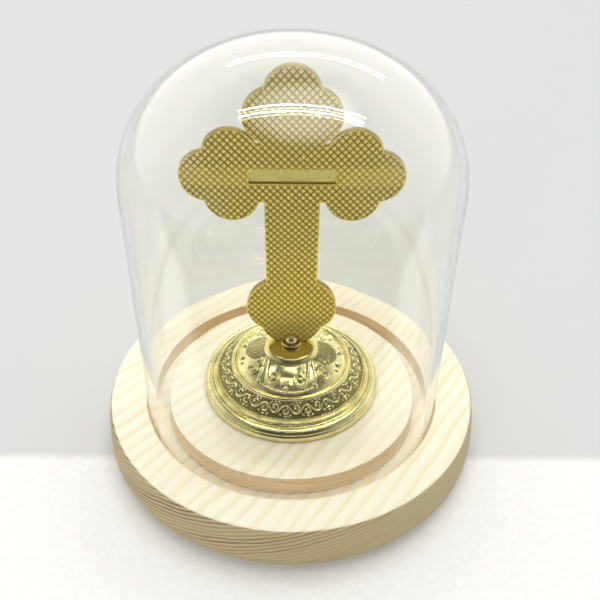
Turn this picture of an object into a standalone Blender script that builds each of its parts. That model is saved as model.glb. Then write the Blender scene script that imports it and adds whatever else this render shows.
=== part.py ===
"""Glass cloche on a turned pine base, over a gilt budded cross on a round foot.

Metres, +Z up. The origin is at the bottom centre of the wooden base, and the
knurled back of the cross faces -Y. The dimensions below are in millimetres.
The stand (foot, cap, collar, ball, cross) is modelled in its own frame, whose
origin is on its turning axis at the bottom of the foot.
"""

import math

import bmesh
import bpy

MM = 0.001

# ---- driving dimensions, millimetres
GAP = 0.3                # clearance between touching pieces

BASE_H = 18.0            # floor to the top of the outer ring
BASE_TOP_R = 62.5        # edge of the outer ring's flat top
BASE_MAX_R = 65.0        # widest point of the bulged side
DISC_R = 43.3            # raised disc inside the groove
DISC_RISE = 2.0          # raised disc above the outer ring
GROOVE_R = 50.9          # outer wall of the groove
GROOVE_DEPTH = 5.0       # below the outer ring's top
EDGE_ROUND = 0.5         # broken edges at the groove

DOME_R = 50.6            # outer radius of the glass
DOME_WALL = 2.2
DOME_TOP = 140.8         # outer top of the glass
DOME_CAP = 38.4          # height of the curved cap
DOME_POWER = 2.08        # cap section: 2 is an ellipse

STAND_X, STAND_Y = -0.2, 2.9   # where the free foot stands on the disc
FOOT_R = 30.7
CAP_Z = 15.9             # underside of the flat disc on the neck
CAP_T = 1.0
CAP_R = 9.1
CAP_FLAT_R = 7.8         # inside its rounded rim
STUB_R, STUB_Z = 5.2, 11.2     # the disc's stub in the neck's bore
COLLAR_R, COLLAR_HOLE, COLLAR_H = 3.55, 2.35, 1.3
BALL_R = 2.1
BALL_RISE = 1.35         # its centre above the cap
SHANK_R = 0.75           # the ball's threaded shank
SHANK_END = 6.0
CROWN_Z = 10.2           # underside of the foot's crown
WASHER_R, WASHER_T = 8.0, 0.8
NUT_R, NUT_T = 3.3, 2.2  # across the nut's corners, and its height

PLATE_T = 2.0            # thickness of the cross
PLATE_BACK = 1.05        # its knurled back face, behind the turning axis
AXIS_Z = 80.3            # centre line of the crossbar
LOBE = 8.45              # radius of the buds on the top and the arms
FOOT_LOBE = 10.2         # and on the foot
SHAFT_X = 8.4            # half-width of the shaft at its foot
SHOULDER_X = 8.5         # and below the crossbar
NECK_X = 9.0             # half-width above the crossbar
TONGUE_X, TONGUE_Z = 2.0, 13.0
SLOT_X, SLOT_HALF, SLOT_DEPTH = 13.0, 2.35, 1.5
STRIP_T = 0.4
STRIP_EDGE = 0.35        # strip's margin inside the recess

DISC_TOP = BASE_H + DISC_RISE
GROOVE_FLOOR = BASE_H - GROOVE_DEPTH
DOME_BOTTOM = GROOVE_FLOOR + GAP
CAP_TOP = CAP_Z + CAP_T
BORE = SHANK_R + GAP


# ---- helpers

def clear():
    for obj in list(bpy.data.objects):
        bpy.data.objects.remove(obj, do_unlink=True)


def material(name, color, metallic, roughness, alpha=1.0):
    mat = bpy.data.materials.new(name)
    mat.use_nodes = True
    shader = mat.node_tree.nodes["Principled BSDF"]
    shader.inputs["Base Color"].default_value = (*color, 1.0)
    shader.inputs["Metallic"].default_value = metallic
    shader.inputs["Roughness"].default_value = roughness
    shader.inputs["Alpha"].default_value = alpha
    mat.diffuse_color = (*color, alpha)
    return mat


def finish_object(name, bm, mat=None, parent=None, smooth=False):
    bm.normal_update()
    mesh = bpy.data.meshes.new(name)
    bm.to_mesh(mesh)
    bm.free()
    obj = bpy.data.objects.new(name, mesh)
    bpy.context.scene.collection.objects.link(obj)
    obj.parent = parent
    if mat:
        mesh.materials.append(mat)
    if smooth:
        mesh.shade_smooth()
        mesh.set_sharp_from_angle(angle=math.radians(35))
    return obj


def skin(bm, rings):
    """Quads around closed rings of vertices; a ring of one vertex is a pole."""
    for upper, lower in zip(rings, rings[1:] + rings[:1]):
        if len(upper) == 1 and len(lower) == 1:
            continue
        count = max(len(upper), len(lower))
        for i in range(count):
            j = i + 1
            corners = []
            for vert in (upper[i % len(upper)], lower[i % len(lower)],
                         lower[j % len(lower)], upper[j % len(upper)]):
                if vert not in corners:
                    corners.append(vert)
            bm.faces.new(corners)


def revolve(name, profile, segments, mat, parent=None):
    """A closed (radius, height) section, outer side first, turned about Z."""
    bm = bmesh.new()
    rings = []
    for radius, height in profile:
        count = segments if radius > 0.0 else 1
        ring = []
        for i in range(count):
            a = 2.0 * math.pi * i / count
            point = (radius * math.cos(a) * MM, radius * math.sin(a) * MM, height * MM)
            ring.append(bm.verts.new(point))
        rings.append(ring)
    skin(bm, rings)
    return finish_object(name, bm, mat, parent, smooth=True)


def prism(name, outline, back, front, mat, parent):
    """An (x, z) outline, counter-clockwise seen from -Y, between two y planes."""
    bm = bmesh.new()
    near = [bm.verts.new((x * MM, back * MM, z * MM)) for x, z in outline]
    far = [bm.verts.new((x * MM, front * MM, z * MM)) for x, z in outline]
    bm.faces.new(near)
    bm.faces.new(far[::-1])
    for i in range(len(outline)):
        j = (i + 1) % len(outline)
        bm.faces.new((near[j], near[i], far[i], far[j]))
    return finish_object(name, bm, mat, parent)


def box_cutter(name, low, high, parent):
    bm = bmesh.new()
    bmesh.ops.create_cube(bm, size=1.0)
    for vert in bm.verts:
        for k in range(3):
            vert.co[k] = (high[k] if vert.co[k] > 0 else low[k]) * MM
    obj = finish_object(name, bm, parent=parent)
    obj.hide_render = True
    obj.display_type = "WIRE"
    return obj


def cut(obj, cutter):
    modifier = obj.modifiers.new("cut_" + cutter.name, "BOOLEAN")
    modifier.operation = "DIFFERENCE"
    modifier.solver = "EXACT"
    modifier.object = cutter


# ---- wooden base: one turned board with a groove around a raised disc

def base_profile():
    top, disc, side = BASE_H, DISC_TOP, BASE_MAX_R
    return [
        (BASE_TOP_R, top), (BASE_TOP_R + 0.85, top - 0.35),
        (BASE_TOP_R + 1.3, top - 1.2), (BASE_TOP_R + 1.9, top - 4.5),
        (side - 0.2, top - 8.5), (side, 5.5), (side - 0.4, 3.0),
        (side - 1.4, 1.0), (side - 3.0, 0.0), (0.0, 0.0),
        (0.0, disc), (DISC_R - EDGE_ROUND, disc), (DISC_R, disc - EDGE_ROUND),
        (DISC_R, GROOVE_FLOOR), (GROOVE_R, GROOVE_FLOOR),
        (GROOVE_R, top - EDGE_ROUND), (GROOVE_R + EDGE_ROUND, top),
    ]


# ---- glass dome: straight wall and a superelliptic cap

def cap_curve(radius, top, height, steps=16):
    """The cap's section from its crown down to where the wall starts."""
    points = [(0.0, top)]
    for i in range(1, steps + 1):
        t = math.pi / 2 * (1 - i / steps)
        r = radius * math.cos(t) ** (2 / DOME_POWER)
        z = top - height + height * abs(math.sin(t)) ** (2 / DOME_POWER)
        points.append((r, z))
    return points


def dome_profile():
    hole = DOME_R - DOME_WALL
    lip = DOME_WALL / 3
    outer = cap_curve(DOME_R, DOME_TOP, DOME_CAP)
    rim = [
        (DOME_R, DOME_BOTTOM + lip), (DOME_R - lip, DOME_BOTTOM),
        (hole + lip, DOME_BOTTOM), (hole, DOME_BOTTOM + lip),
    ]
    inner = cap_curve(hole, DOME_TOP - DOME_WALL, DOME_CAP - DOME_WALL)
    return outer + rim + inner[::-1]


# ---- foot: a hollow casting, its mouldings from the neck's bore to the rim

def foot_profile():
    dome = [
        (5.6, 15.6), (8.0, 15.55), (8.3, 15.25), (8.6, 14.9), (9.3, 14.55),
        (10.6, 14.05), (12.6, 13.35), (14.6, 12.65), (16.4, 11.85), (17.9, 10.95),
        (18.9, 10.1), (19.3, 9.5),
    ]
    bead_and_frieze = [
        (19.6, 9.85), (20.15, 10.15), (20.7, 9.85), (20.95, 9.3),
        (22.2, 8.25), (23.6, 6.9), (24.8, 5.65), (26.0, 5.4),
    ]
    rim = [
        (26.15, 4.95), (26.6, 4.75), (27.0, 4.3), (27.3, 4.2), (27.5, 3.6),
        (27.9, 3.9), (28.6, 4.05), (29.5, 3.7), (30.1, 3.05), (30.3, 2.5),
        (30.45, 2.35), (FOOT_R, 0.45), (FOOT_R - 0.15, 0.0),
    ]
    hollow = [
        (28.4, 0.0), (28.2, 1.6), (24.6, 2.9), (21.2, 5.6), (18.2, 7.6),
        (14.6, 9.4), (11.6, CROWN_Z), (5.6, CROWN_Z),
    ]
    return dome + bead_and_frieze + rim + hollow


def cap_profile():
    return [
        (BORE, CAP_TOP), (CAP_FLAT_R, CAP_TOP), (CAP_FLAT_R + 0.6, CAP_TOP - 0.12),
        (CAP_R - 0.2, CAP_TOP - 0.4), (CAP_R, CAP_TOP - 0.7), (CAP_R - 0.3, CAP_Z),
        (STUB_R, CAP_Z), (STUB_R, STUB_Z), (BORE, STUB_Z),
    ]


def collar_profile():
    bottom = CAP_TOP + GAP
    top = CAP_TOP + COLLAR_H
    return [
        (COLLAR_R - 0.5, top), (COLLAR_R - 0.15, top - 0.15),
        (COLLAR_R, top - 0.5), (COLLAR_R - 0.15, bottom + 0.1),
        (COLLAR_R - 0.5, bottom), (COLLAR_HOLE, bottom),
        (COLLAR_HOLE, top - 0.55),
    ]


def ball_profile(steps=16):
    """Ball set in the collar, with its shank running down through the foot."""
    center = CAP_TOP + BALL_RISE
    seat = CAP_TOP + 0.6
    points = [(0.0, center + BALL_R)]
    for i in range(1, steps):
        angle = math.pi / 2 - math.pi * i / steps
        z = center + BALL_R * math.sin(angle)
        if z > seat:
            points.append((BALL_R * math.cos(angle), z))
    return points + [(SHANK_R, seat - 0.15), (SHANK_R, SHANK_END), (0.0, SHANK_END)]


# ---- cross: budded outline made of circles, each (x, z, radius)

TOP_TIP = (0.0, AXIS_Z + 25.05, LOBE)
TOP_SIDE = (6.0, AXIS_Z + 18.9, LOBE)
ARM_UP = (18.3, AXIS_Z + 6.85, LOBE)
ARM_TIP = (25.35, AXIS_Z, LOBE)
ARM_LOW = (18.3, AXIS_Z - 6.85, LOBE)
FOOT_SIDE = (4.75, AXIS_Z - 48.7, FOOT_LOBE)
FOOT_TIP = (0.0, AXIS_Z - 54.6, FOOT_LOBE)
GAP_Z = AXIS_Z + 10.2        # closed end of the gap between top and arm
SHOULDER_Z = AXIS_Z - 8.75   # where the arm meets the shaft
SOLE_Z = CAP_TOP + GAP + 0.05  # flat bottom of the cross, over the cap


def notch(a, b):
    """The outer of the two points where the equal circles a and b cross."""
    dx, dz = b[0] - a[0], b[1] - a[1]
    half = math.hypot(dx, dz) / 2
    rise = math.sqrt(a[2]**2 - half**2)
    mx, mz = (a[0] + b[0]) / 2, (a[1] + b[1]) / 2
    nx, nz = -dz / (2 * half) * rise, dx / (2 * half) * rise
    return max((mx + nx, mz + nz), (mx - nx, mz - nz))


def bud_arc(center, start, end, steps):
    """Points from start to end, clockwise on a bud's circle, without start."""
    a = math.atan2(start[1] - center[1], start[0] - center[0])
    b = math.atan2(end[1] - center[1], end[0] - center[0])
    if b > a:
        b -= 2 * math.pi
    points = []
    for i in range(1, steps + 1):
        t = a + (b - a) * i / steps
        points.append((center[0] + center[2] * math.cos(t),
                       center[1] + center[2] * math.sin(t)))
    return points


def reach_z(center, x, side):
    """Height at which a bud's circle crosses x, above (1) or below (-1) its centre."""
    return center[1] + side * math.sqrt(center[2]**2 - (x - center[0]) ** 2)


def reach_x(center, z, side=-1):
    """Inner (-1) or outer (1) x at which a bud's circle crosses the height z."""
    return center[0] + side * math.sqrt(center[2]**2 - (z - center[1]) ** 2)


def cross_half():
    """(x, z) points down the right side, from the top tip to the tongue."""
    tip = (0.0, TOP_TIP[1] + LOBE)
    top_notch = notch(TOP_TIP, TOP_SIDE)
    neck = (NECK_X, reach_z(TOP_SIDE, NECK_X, -1))
    arm_start = (reach_x(ARM_UP, GAP_Z), GAP_Z)
    arm_notch = notch(ARM_UP, ARM_TIP)
    low_notch = (arm_notch[0], 2 * AXIS_Z - arm_notch[1])
    arm_end = (reach_x(ARM_LOW, SHOULDER_Z), SHOULDER_Z)
    join = (SHAFT_X, reach_z(FOOT_SIDE, SHAFT_X, 1))
    foot_notch = notch(FOOT_SIDE, FOOT_TIP)
    sole = (reach_x(FOOT_TIP, SOLE_Z, 1), SOLE_Z)
    return (
        [tip] + bud_arc(TOP_TIP, tip, top_notch, 8)
        + bud_arc(TOP_SIDE, top_notch, neck, 12)
        + [(NECK_X, GAP_Z), arm_start]
        + bud_arc(ARM_UP, arm_start, arm_notch, 12)
        + bud_arc(ARM_TIP, arm_notch, low_notch, 14)
        + bud_arc(ARM_LOW, low_notch, arm_end, 12)
        + [(SHOULDER_X, SHOULDER_Z), join]
        + bud_arc(FOOT_SIDE, join, foot_notch, 12)
        + bud_arc(FOOT_TIP, foot_notch, sole, 6)
        + [(TONGUE_X, SOLE_Z), (TONGUE_X, TONGUE_Z)]
    )


def cross_outline():
    right = cross_half()
    left = [(-x, z) for x, z in right[1:]]
    return right[:1] + left + right[:0:-1]


def slot_outline(margin):
    x, half = SLOT_X - margin, SLOT_HALF - margin
    return [(-x, AXIS_Z - half), (x, AXIS_Z - half), (x, AXIS_Z + half), (-x, AXIS_Z + half)]


def hex_nut(name, mat, parent, top):
    """Six-sided nut with a round bore, four steps to each side."""
    sides, steps = 6, 4
    bm = bmesh.new()

    def ring(radius, height, flat_sides):
        verts = []
        for i in range(sides * steps):
            a = 2.0 * math.pi * i / (sides * steps)
            r = radius
            if flat_sides:
                half = math.pi / sides
                r = radius * math.cos(half) / math.cos(a % (2 * half) - half)
            point = (r * math.cos(a) * MM, r * math.sin(a) * MM, height * MM)
            verts.append(bm.verts.new(point))
        return verts

    bottom = top - NUT_T
    skin(bm, [ring(NUT_R, top, True), ring(NUT_R, bottom, True),
              ring(BORE, bottom, False), ring(BORE, top, False)])
    return finish_object(name, bm, mat, parent)


# ---- build

def build_base_and_dome():
    pine = material("pine", (0.86, 0.72, 0.47), 0.0, 0.55)
    glass = material("clear_glass", (0.97, 0.98, 0.96), 0.0, 0.03, 0.35)
    revolve("wooden_base", base_profile(), 80, pine)
    revolve("glass_dome", dome_profile(), 64, glass)


def build_foot(stand):
    foot_gold = material("foot_gold", (0.93, 0.80, 0.42), 1.0, 0.16)
    cap_gold = material("cap_gold", (0.92, 0.79, 0.42), 1.0, 0.14)
    collar_gold = material("collar_gold", (0.92, 0.78, 0.40), 1.0, 0.16)
    ball_gold = material("ball_gold", (0.92, 0.78, 0.40), 1.0, 0.12)
    revolve("foot_shell", foot_profile(), 64, foot_gold, stand)
    cap = revolve("foot_cap", cap_profile(), 48, cap_gold, stand)
    collar = revolve("collar_ring", collar_profile(), 40, collar_gold, stand)
    ball = revolve("ball_knop", ball_profile(), 32, ball_gold, stand)
    back, front = PLATE_BACK, PLATE_BACK + PLATE_T
    # The cross's tongue goes down into the cap.
    tongue = box_cutter(
        "tongue_cut",
        (-TONGUE_X - GAP, back - GAP, TONGUE_Z - GAP),
        (TONGUE_X + GAP, front + GAP, AXIS_Z),
        stand,
    )
    cut(cap, tongue)
    # The collar and the ball are flat where the plate passes behind them.
    behind = box_cutter(
        "collar_flat_cut",
        (-COLLAR_R - 2.0, back - GAP, CAP_TOP + 0.1),
        (COLLAR_R + 2.0, front + 2.0, AXIS_Z),
        stand,
    )
    cut(collar, behind)
    flat = box_cutter(
        "ball_flat_cut",
        (-COLLAR_R - 2.0, SHANK_R + 0.02, CAP_TOP + 0.1),
        (COLLAR_R + 2.0, front + 2.0, AXIS_Z),
        stand,
    )
    cut(ball, flat)


def build_fixings(stand):
    washer_steel = material("washer_steel", (0.66, 0.66, 0.64), 1.0, 0.35)
    nut_steel = material("nut_steel", (0.62, 0.62, 0.60), 1.0, 0.35)
    top = CROWN_Z - GAP
    bottom = top - WASHER_T
    washer = [(WASHER_R, top), (WASHER_R, bottom), (BORE, bottom), (BORE, top)]
    revolve("stem_washer", washer, 40, washer_steel, stand)
    hex_nut("stem_nut", nut_steel, stand, bottom - GAP)


def build_cross(stand):
    cross_gold = material("cross_gold", (0.86, 0.67, 0.24), 1.0, 0.28)
    strip_gold = material("strip_gold", (0.62, 0.55, 0.22), 1.0, 0.30)
    back, front = PLATE_BACK, PLATE_BACK + PLATE_T
    plate = prism("cross_plate", cross_outline(), back, front, cross_gold, stand)
    recess = box_cutter(
        "slot_cut",
        (-SLOT_X, back - 2.0, AXIS_Z - SLOT_HALF),
        (SLOT_X, back + SLOT_DEPTH, AXIS_Z + SLOT_HALF),
        stand,
    )
    cut(plate, recess)
    strip_front = back + SLOT_DEPTH - GAP
    prism("slot_strip", slot_outline(STRIP_EDGE), strip_front - STRIP_T, strip_front,
          strip_gold, stand)


def main():
    clear()
    build_base_and_dome()
    stand = bpy.data.objects.new("stand_axis", None)
    stand.location = (STAND_X * MM, STAND_Y * MM, (DISC_TOP + GAP) * MM)
    bpy.context.scene.collection.objects.link(stand)
    build_foot(stand)
    build_fixings(stand)
    build_cross(stand)


main()
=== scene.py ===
"""Looks for the glass cloche over a gilt budded cross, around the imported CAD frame.

Metres, +Z up. Shapes are worked out in millimetres. The knurled back of the
cross faces -Y, toward the camera. Pieces of the stand are drawn about its
turning axis, with z = 0 at the bottom of the foot.
"""

import math

import bmesh
import bpy
import numpy as np
from mathutils import Matrix, Vector
from mathutils.geometry import delaunay_2d_cdt


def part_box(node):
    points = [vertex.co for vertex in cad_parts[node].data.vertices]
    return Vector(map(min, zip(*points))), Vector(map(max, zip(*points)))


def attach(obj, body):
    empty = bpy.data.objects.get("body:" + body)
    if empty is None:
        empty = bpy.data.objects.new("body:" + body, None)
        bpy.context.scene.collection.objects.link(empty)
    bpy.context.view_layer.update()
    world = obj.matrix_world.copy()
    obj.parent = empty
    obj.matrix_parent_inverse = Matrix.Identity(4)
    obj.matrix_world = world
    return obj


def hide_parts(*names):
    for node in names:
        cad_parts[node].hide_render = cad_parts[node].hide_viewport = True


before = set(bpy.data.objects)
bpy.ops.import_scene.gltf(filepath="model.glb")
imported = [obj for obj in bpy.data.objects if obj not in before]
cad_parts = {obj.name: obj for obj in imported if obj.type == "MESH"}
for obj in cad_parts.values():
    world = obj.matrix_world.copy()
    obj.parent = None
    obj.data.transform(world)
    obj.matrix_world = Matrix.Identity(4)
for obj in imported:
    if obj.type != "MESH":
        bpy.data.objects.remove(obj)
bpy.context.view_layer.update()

MM = 0.001
TAU = 2.0 * math.pi


def box_mm(node):
    """The low and high corners of a CAD node's box, in millimetres."""
    return [np.array(corner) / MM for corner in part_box(node)]


BASE = box_mm("wooden_base")
DOME = box_mm("glass_dome")
FOOT = box_mm("foot_shell")
CAP = box_mm("foot_cap")
COLLAR = box_mm("collar_ring")
BALL = box_mm("ball_knop")
PLATE = box_mm("cross_plate")
STRIP = box_mm("slot_strip")

BASE_R = BASE[1][0]
DISC_TOP = BASE[1][2]
GROOVE_R = 50.9              # the groove's outer wall
GAP = 0.3                    # the CAD's clearance between touching pieces

# The stand's turning axis, at the bottom of the foot.
STAND = np.array([(FOOT[0][0] + FOOT[1][0]) / 2, (FOOT[0][1] + FOOT[1][1]) / 2, FOOT[0][2]])


def above_foot(box, side):
    """Height of a box's lower (0) or upper (1) side above the foot's bottom."""
    return float(box[side][2] - STAND[2])


def half_width(box):
    return float(box[1][0] - box[0][0]) / 2


FOOT_R = half_width(FOOT)


# ---- mesh helpers

def add_mesh(name, verts, faces, mat, body, stands_for=(), sharp=35):
    """A smooth-shaded piece from points in millimetres, riding on a body.

    stands_for names the CAD nodes that it replaces, and sharp is the angle in
    degrees from which an edge stays hard.
    """
    mesh = bpy.data.meshes.new(name)
    mesh.from_pydata((np.asarray(verts, float) * MM).tolist(), [], faces)
    mesh.materials.append(mat)
    mesh.shade_smooth()
    mesh.set_sharp_from_angle(angle=math.radians(sharp))
    obj = bpy.data.objects.new(name, mesh)
    bpy.context.scene.collection.objects.link(obj)
    if body:
        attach(obj, body)
    if stands_for:
        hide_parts(*stands_for)
    return obj


def lathe(profile, segments, center=(0.0, 0.0, 0.0)):
    """Points and faces of a closed (radius, height) section turned about an axis."""
    verts, rings = [], []
    for radius, height in profile:
        count = segments if radius > 0.0 else 1
        rings.append((len(verts), count))
        for i in range(count):
            a = TAU * i / count
            verts.append((center[0] + radius * math.cos(a),
                          center[1] + radius * math.sin(a), center[2] + height))
    faces = []
    for (a, na), (b, nb) in zip(rings, rings[1:] + rings[:1]):
        if na == nb == 1:
            continue
        for i in range(segments):
            j = (i + 1) % segments
            corners = [a + i % na, b + i % nb, b + j % nb, a + j % na]
            faces.append([c for k, c in enumerate(corners) if c not in corners[:k]])
    return np.array(verts), faces


def spline(points, step):
    """A smooth curve through (x, y) points, sampled about every step."""
    p = np.array(points, float)
    p = np.vstack([2 * p[0] - p[1], p, 2 * p[-1] - p[-2]])
    out = [p[1]]
    for i in range(1, len(p) - 2):
        a, b, c, d = p[i - 1:i + 3]
        n = max(1, round(float(np.linalg.norm(c - b)) / step))
        for k in range(1, n + 1):
            t = k / n
            out.append(0.5 * (2 * b + (c - a) * t + (2 * a - 5 * b + 4 * c - d) * t**2
                              + (3 * b - a - 3 * c + d) * t**3))
    return [tuple(q) for q in out]


def arc(cx, cy, radius, start, end, steps):
    """Points on a circle between two angles in degrees, both ends included."""
    angles = np.radians(np.linspace(start, end, steps + 1))
    return [(cx + radius * math.cos(a), cy + radius * math.sin(a)) for a in angles]


def set_attribute(obj, name, values):
    """One number for each vertex, which a material can read by name."""
    attribute = obj.data.attributes.new(name, "FLOAT", "POINT")
    attribute.data.foreach_set("value", np.asarray(values, np.float32))


def cut_box(obj, low, high):
    """Cuts a box, in millimetres, out of obj and keeps the result as its mesh."""
    bm = bmesh.new()
    bmesh.ops.create_cube(bm, size=1.0)
    for vert in bm.verts:
        for k in range(3):
            vert.co[k] = (high[k] if vert.co[k] > 0 else low[k]) * MM
    mesh = bpy.data.meshes.new("cutter")
    bm.to_mesh(mesh)
    bm.free()
    cutter = bpy.data.objects.new("cutter", mesh)
    bpy.context.scene.collection.objects.link(cutter)
    modifier = obj.modifiers.new("cut", "BOOLEAN")
    modifier.operation = "DIFFERENCE"
    modifier.solver = "EXACT"
    modifier.object = cutter
    bpy.context.view_layer.update()
    graph = bpy.context.evaluated_depsgraph_get()
    result = bpy.data.meshes.new_from_object(obj.evaluated_get(graph))
    obj.modifiers.clear()
    obj.data = result
    bpy.data.objects.remove(cutter)


# ---- material helpers

class Nodes:
    """Short calls for the nodes used here, in the tree of a material or a world."""

    def __init__(self, tree):
        self.tree = tree
        self.coords = tree.nodes.new("ShaderNodeTexCoord").outputs

    def put(self, socket, value):
        """Links the socket to another node's output, or sets it to a plain value."""
        if isinstance(value, bpy.types.NodeSocket):
            self.tree.links.new(value, socket)
        else:
            socket.default_value = value

    def vector(self, operation, a, b=None, scale=None):
        node = self.tree.nodes.new("ShaderNodeVectorMath")
        node.operation = operation
        self.put(node.inputs[0], a)
        if b is not None:
            self.put(node.inputs[1], b)
        if scale is not None:
            node.inputs["Scale"].default_value = scale
        return node.outputs["Vector" if operation == "SCALE" else "Value"]

    def math(self, operation, a, b=0.0, c=0.0):
        node = self.tree.nodes.new("ShaderNodeMath")
        node.operation = operation
        for socket, value in zip(node.inputs, (a, b, c)):
            self.put(socket, value)
        return node.outputs[0]

    def times(self, a, b):
        return self.math("MULTIPLY", a, b)

    def plus(self, a, b):
        return self.math("ADD", a, b)

    def split(self, vector):
        node = self.tree.nodes.new("ShaderNodeSeparateXYZ")
        self.put(node.inputs[0], vector)
        return node.outputs

    def join(self, x, y, z):
        node = self.tree.nodes.new("ShaderNodeCombineXYZ")
        for socket, value in zip(node.inputs, (x, y, z)):
            self.put(socket, value)
        return node.outputs[0]

    def span(self, value, low, high, to_low=0.0, to_high=1.0, smooth=False):
        """The value carried from low..high to to_low..to_high, and held at both ends."""
        node = self.tree.nodes.new("ShaderNodeMapRange")
        if smooth:
            node.interpolation_type = "SMOOTHSTEP"
        for socket, v in zip(node.inputs, (value, low, high, to_low, to_high)):
            self.put(socket, v)
        return node.outputs[0]

    def mix(self, factor, a, b, kind="MIX"):
        node = self.tree.nodes.new("ShaderNodeMix")
        node.data_type = "RGBA"
        node.blend_type = kind
        self.put(node.inputs[0], factor)
        for socket, color in zip(node.inputs[6:8], (a, b)):
            self.put(socket, (*color, 1.0) if isinstance(color, tuple) else color)
        return node.outputs[2]


class Look(Nodes):
    """One procedural material; its point is in millimetres."""

    def __init__(self, name, **settings):
        self.material = bpy.data.materials.new(name)
        self.material.use_nodes = True
        super().__init__(self.material.node_tree)
        self.shader = self.tree.nodes["Principled BSDF"]
        for socket, value in settings.items():
            self.shader.inputs[socket.replace("_", " ")].default_value = value
        self.point = self.vector("SCALE", self.coords["Object"], scale=1.0 / MM)

    def noise(self, scale, detail=2.0, rough=0.5, point=None):
        node = self.tree.nodes.new("ShaderNodeTexNoise")
        self.put(node.inputs["Vector"], self.point if point is None else point)
        node.inputs["Scale"].default_value = scale
        node.inputs["Detail"].default_value = detail
        node.inputs["Roughness"].default_value = rough
        return node.outputs[0]

    def attribute(self, name):
        node = self.tree.nodes.new("ShaderNodeAttribute")
        node.attribute_name = name
        return node.outputs["Fac"]

    def normal(self):
        """The direction that each face points in."""
        return self.tree.nodes.new("ShaderNodeNewGeometry").outputs["True Normal"]

    def bump(self, height, distance, strength=1.0):
        """Bump from a height of 0 to 1 that stands distance millimetres."""
        node = self.tree.nodes.new("ShaderNodeBump")
        node.inputs["Strength"].default_value = strength
        node.inputs["Distance"].default_value = distance * MM
        self.put(node.inputs["Height"], height)
        self.tree.links.new(node.outputs[0], self.shader.inputs["Normal"])

    def set(self, **sockets):
        """Fills the shader's sockets, with _ for each space in a name."""
        for name, value in sockets.items():
            if isinstance(value, tuple):
                value = (*value, 1.0)
            self.put(self.shader.inputs[name.replace("_", " ")], value)
        return self.material


# ---- pine: growth rings of one board, cut flat on top and steeply at the side

GRAIN_FAN = 400.0            # the ring lines meet this far behind the board
GRAIN_ANGLE = 50.0           # their direction across the top, from +X
RING_WIDTH = 4.6             # between ring lines across the top
RING_TILT = 0.62             # rings crossed per millimetre of height
RING_SWAY, RING_DRIFT = 1.8, 0.9   # how far the lines wander, in rings


def pine():
    """Pale wood with a late-wood line in each ring, with painted shade that darkens its side, and
    browner groove walls that are partly painted shade.
    """
    look = Look("pine_board", IOR=1.45)
    x, y, z = look.split(look.point)
    angle = math.radians(GRAIN_ANGLE)
    px, py = GRAIN_FAN * math.cos(angle), GRAIN_FAN * math.sin(angle)
    polar = look.math("ARCTAN2", look.math("SUBTRACT", y, py), look.math("SUBTRACT", x, px))
    across = look.times(look.plus(polar, math.pi - angle), GRAIN_FAN)
    along = look.plus(look.times(x, math.cos(angle)), look.times(y, math.sin(angle)))
    fibre = look.noise(2.6, 3.0, 0.6, look.join(across, look.times(along, 0.06), z))

    waviness = look.noise(0.022)
    drift = look.noise(0.11, 1.0, 0.5, look.join(across, 0.0, look.times(z, 2.3)))
    rings = look.plus(look.math("DIVIDE", across, RING_WIDTH), look.times(z, -RING_TILT))
    rings = look.plus(rings, look.times(waviness, RING_SWAY))
    rings = look.plus(rings, look.times(drift, RING_DRIFT))
    phase = look.math("FRACT", rings)
    rise = look.span(phase, 0.35, 0.82, smooth=True)
    fall = look.span(phase, 0.88, 1.0, 1.0, 0.0, smooth=True)
    late = look.times(rise, fall)
    strength = look.noise(0.5, 0.0, 0.5, look.join(look.math("FLOOR", rings), 3.7, 1.3))
    late = look.times(late, look.span(strength, 0.3, 0.7, 0.45, 1.0))

    _, _, nz = look.split(look.normal())
    top = look.span(look.math("ABSOLUTE", nz), 0.55, 0.9, smooth=True)
    radius = look.vector("LENGTH", look.join(x, y, 0.0))
    groove = look.times(look.span(radius, GROOVE_R + 1.1, GROOVE_R + 0.1),
                        look.span(nz, 0.6, 0.2))

    top_color = look.mix(late, (0.965, 0.91, 0.76), (0.875, 0.785, 0.545))
    left = look.times(look.span(x, 40.0, -45.0), look.span(z, 3.0, 9.0))
    dark_lines = look.mix(look.span(left, 0.0, 1.0, 0.15, 1.0),
                          (0.46, 0.33, 0.17), (0.12, 0.065, 0.03))
    # The side's colour holds painted shade: far darker than the top, as if the light fell from
    # above, with its own stronger ring lines.
    shaded_side_color = look.mix(look.math("POWER", late, 1.2), (0.58, 0.475, 0.27), dark_lines)
    lines = look.noise(1.6, 2.0, 0.6, look.join(look.times(x, 0.05), look.times(y, 0.05), z))
    # The groove's walls turn browner: partly the cut wood's own tone, partly painted shade in the
    # recess.
    groove_tone_and_shade = look.mix(look.span(lines, 0.35, 0.65), (0.86, 0.68, 0.41), (0.70, 0.50, 0.26))
    color = look.mix(top, shaded_side_color, top_color)
    color = look.mix(groove, color, groove_tone_and_shade)
    streak = look.span(fibre, 0.3, 0.75, 0.95, 1.03)
    tint = look.join(streak, streak, look.math("POWER", streak, 1.3))
    color = look.mix(1.0, color, tint, "MULTIPLY")
    cloud = look.noise(0.035, 1.0)
    color = look.mix(look.span(cloud, 0.35, 0.75, 0.0, 0.22), color,
                     look.mix(1.0, color, (0.95, 0.86, 0.70), "MULTIPLY"))
    look.bump(look.plus(look.times(fibre, 0.6), late), 0.09, 0.5)
    return look.set(Base_Color=color, Roughness=look.span(late, 0.0, 1.0, 0.62, 0.46))


# ---- metals

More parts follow.
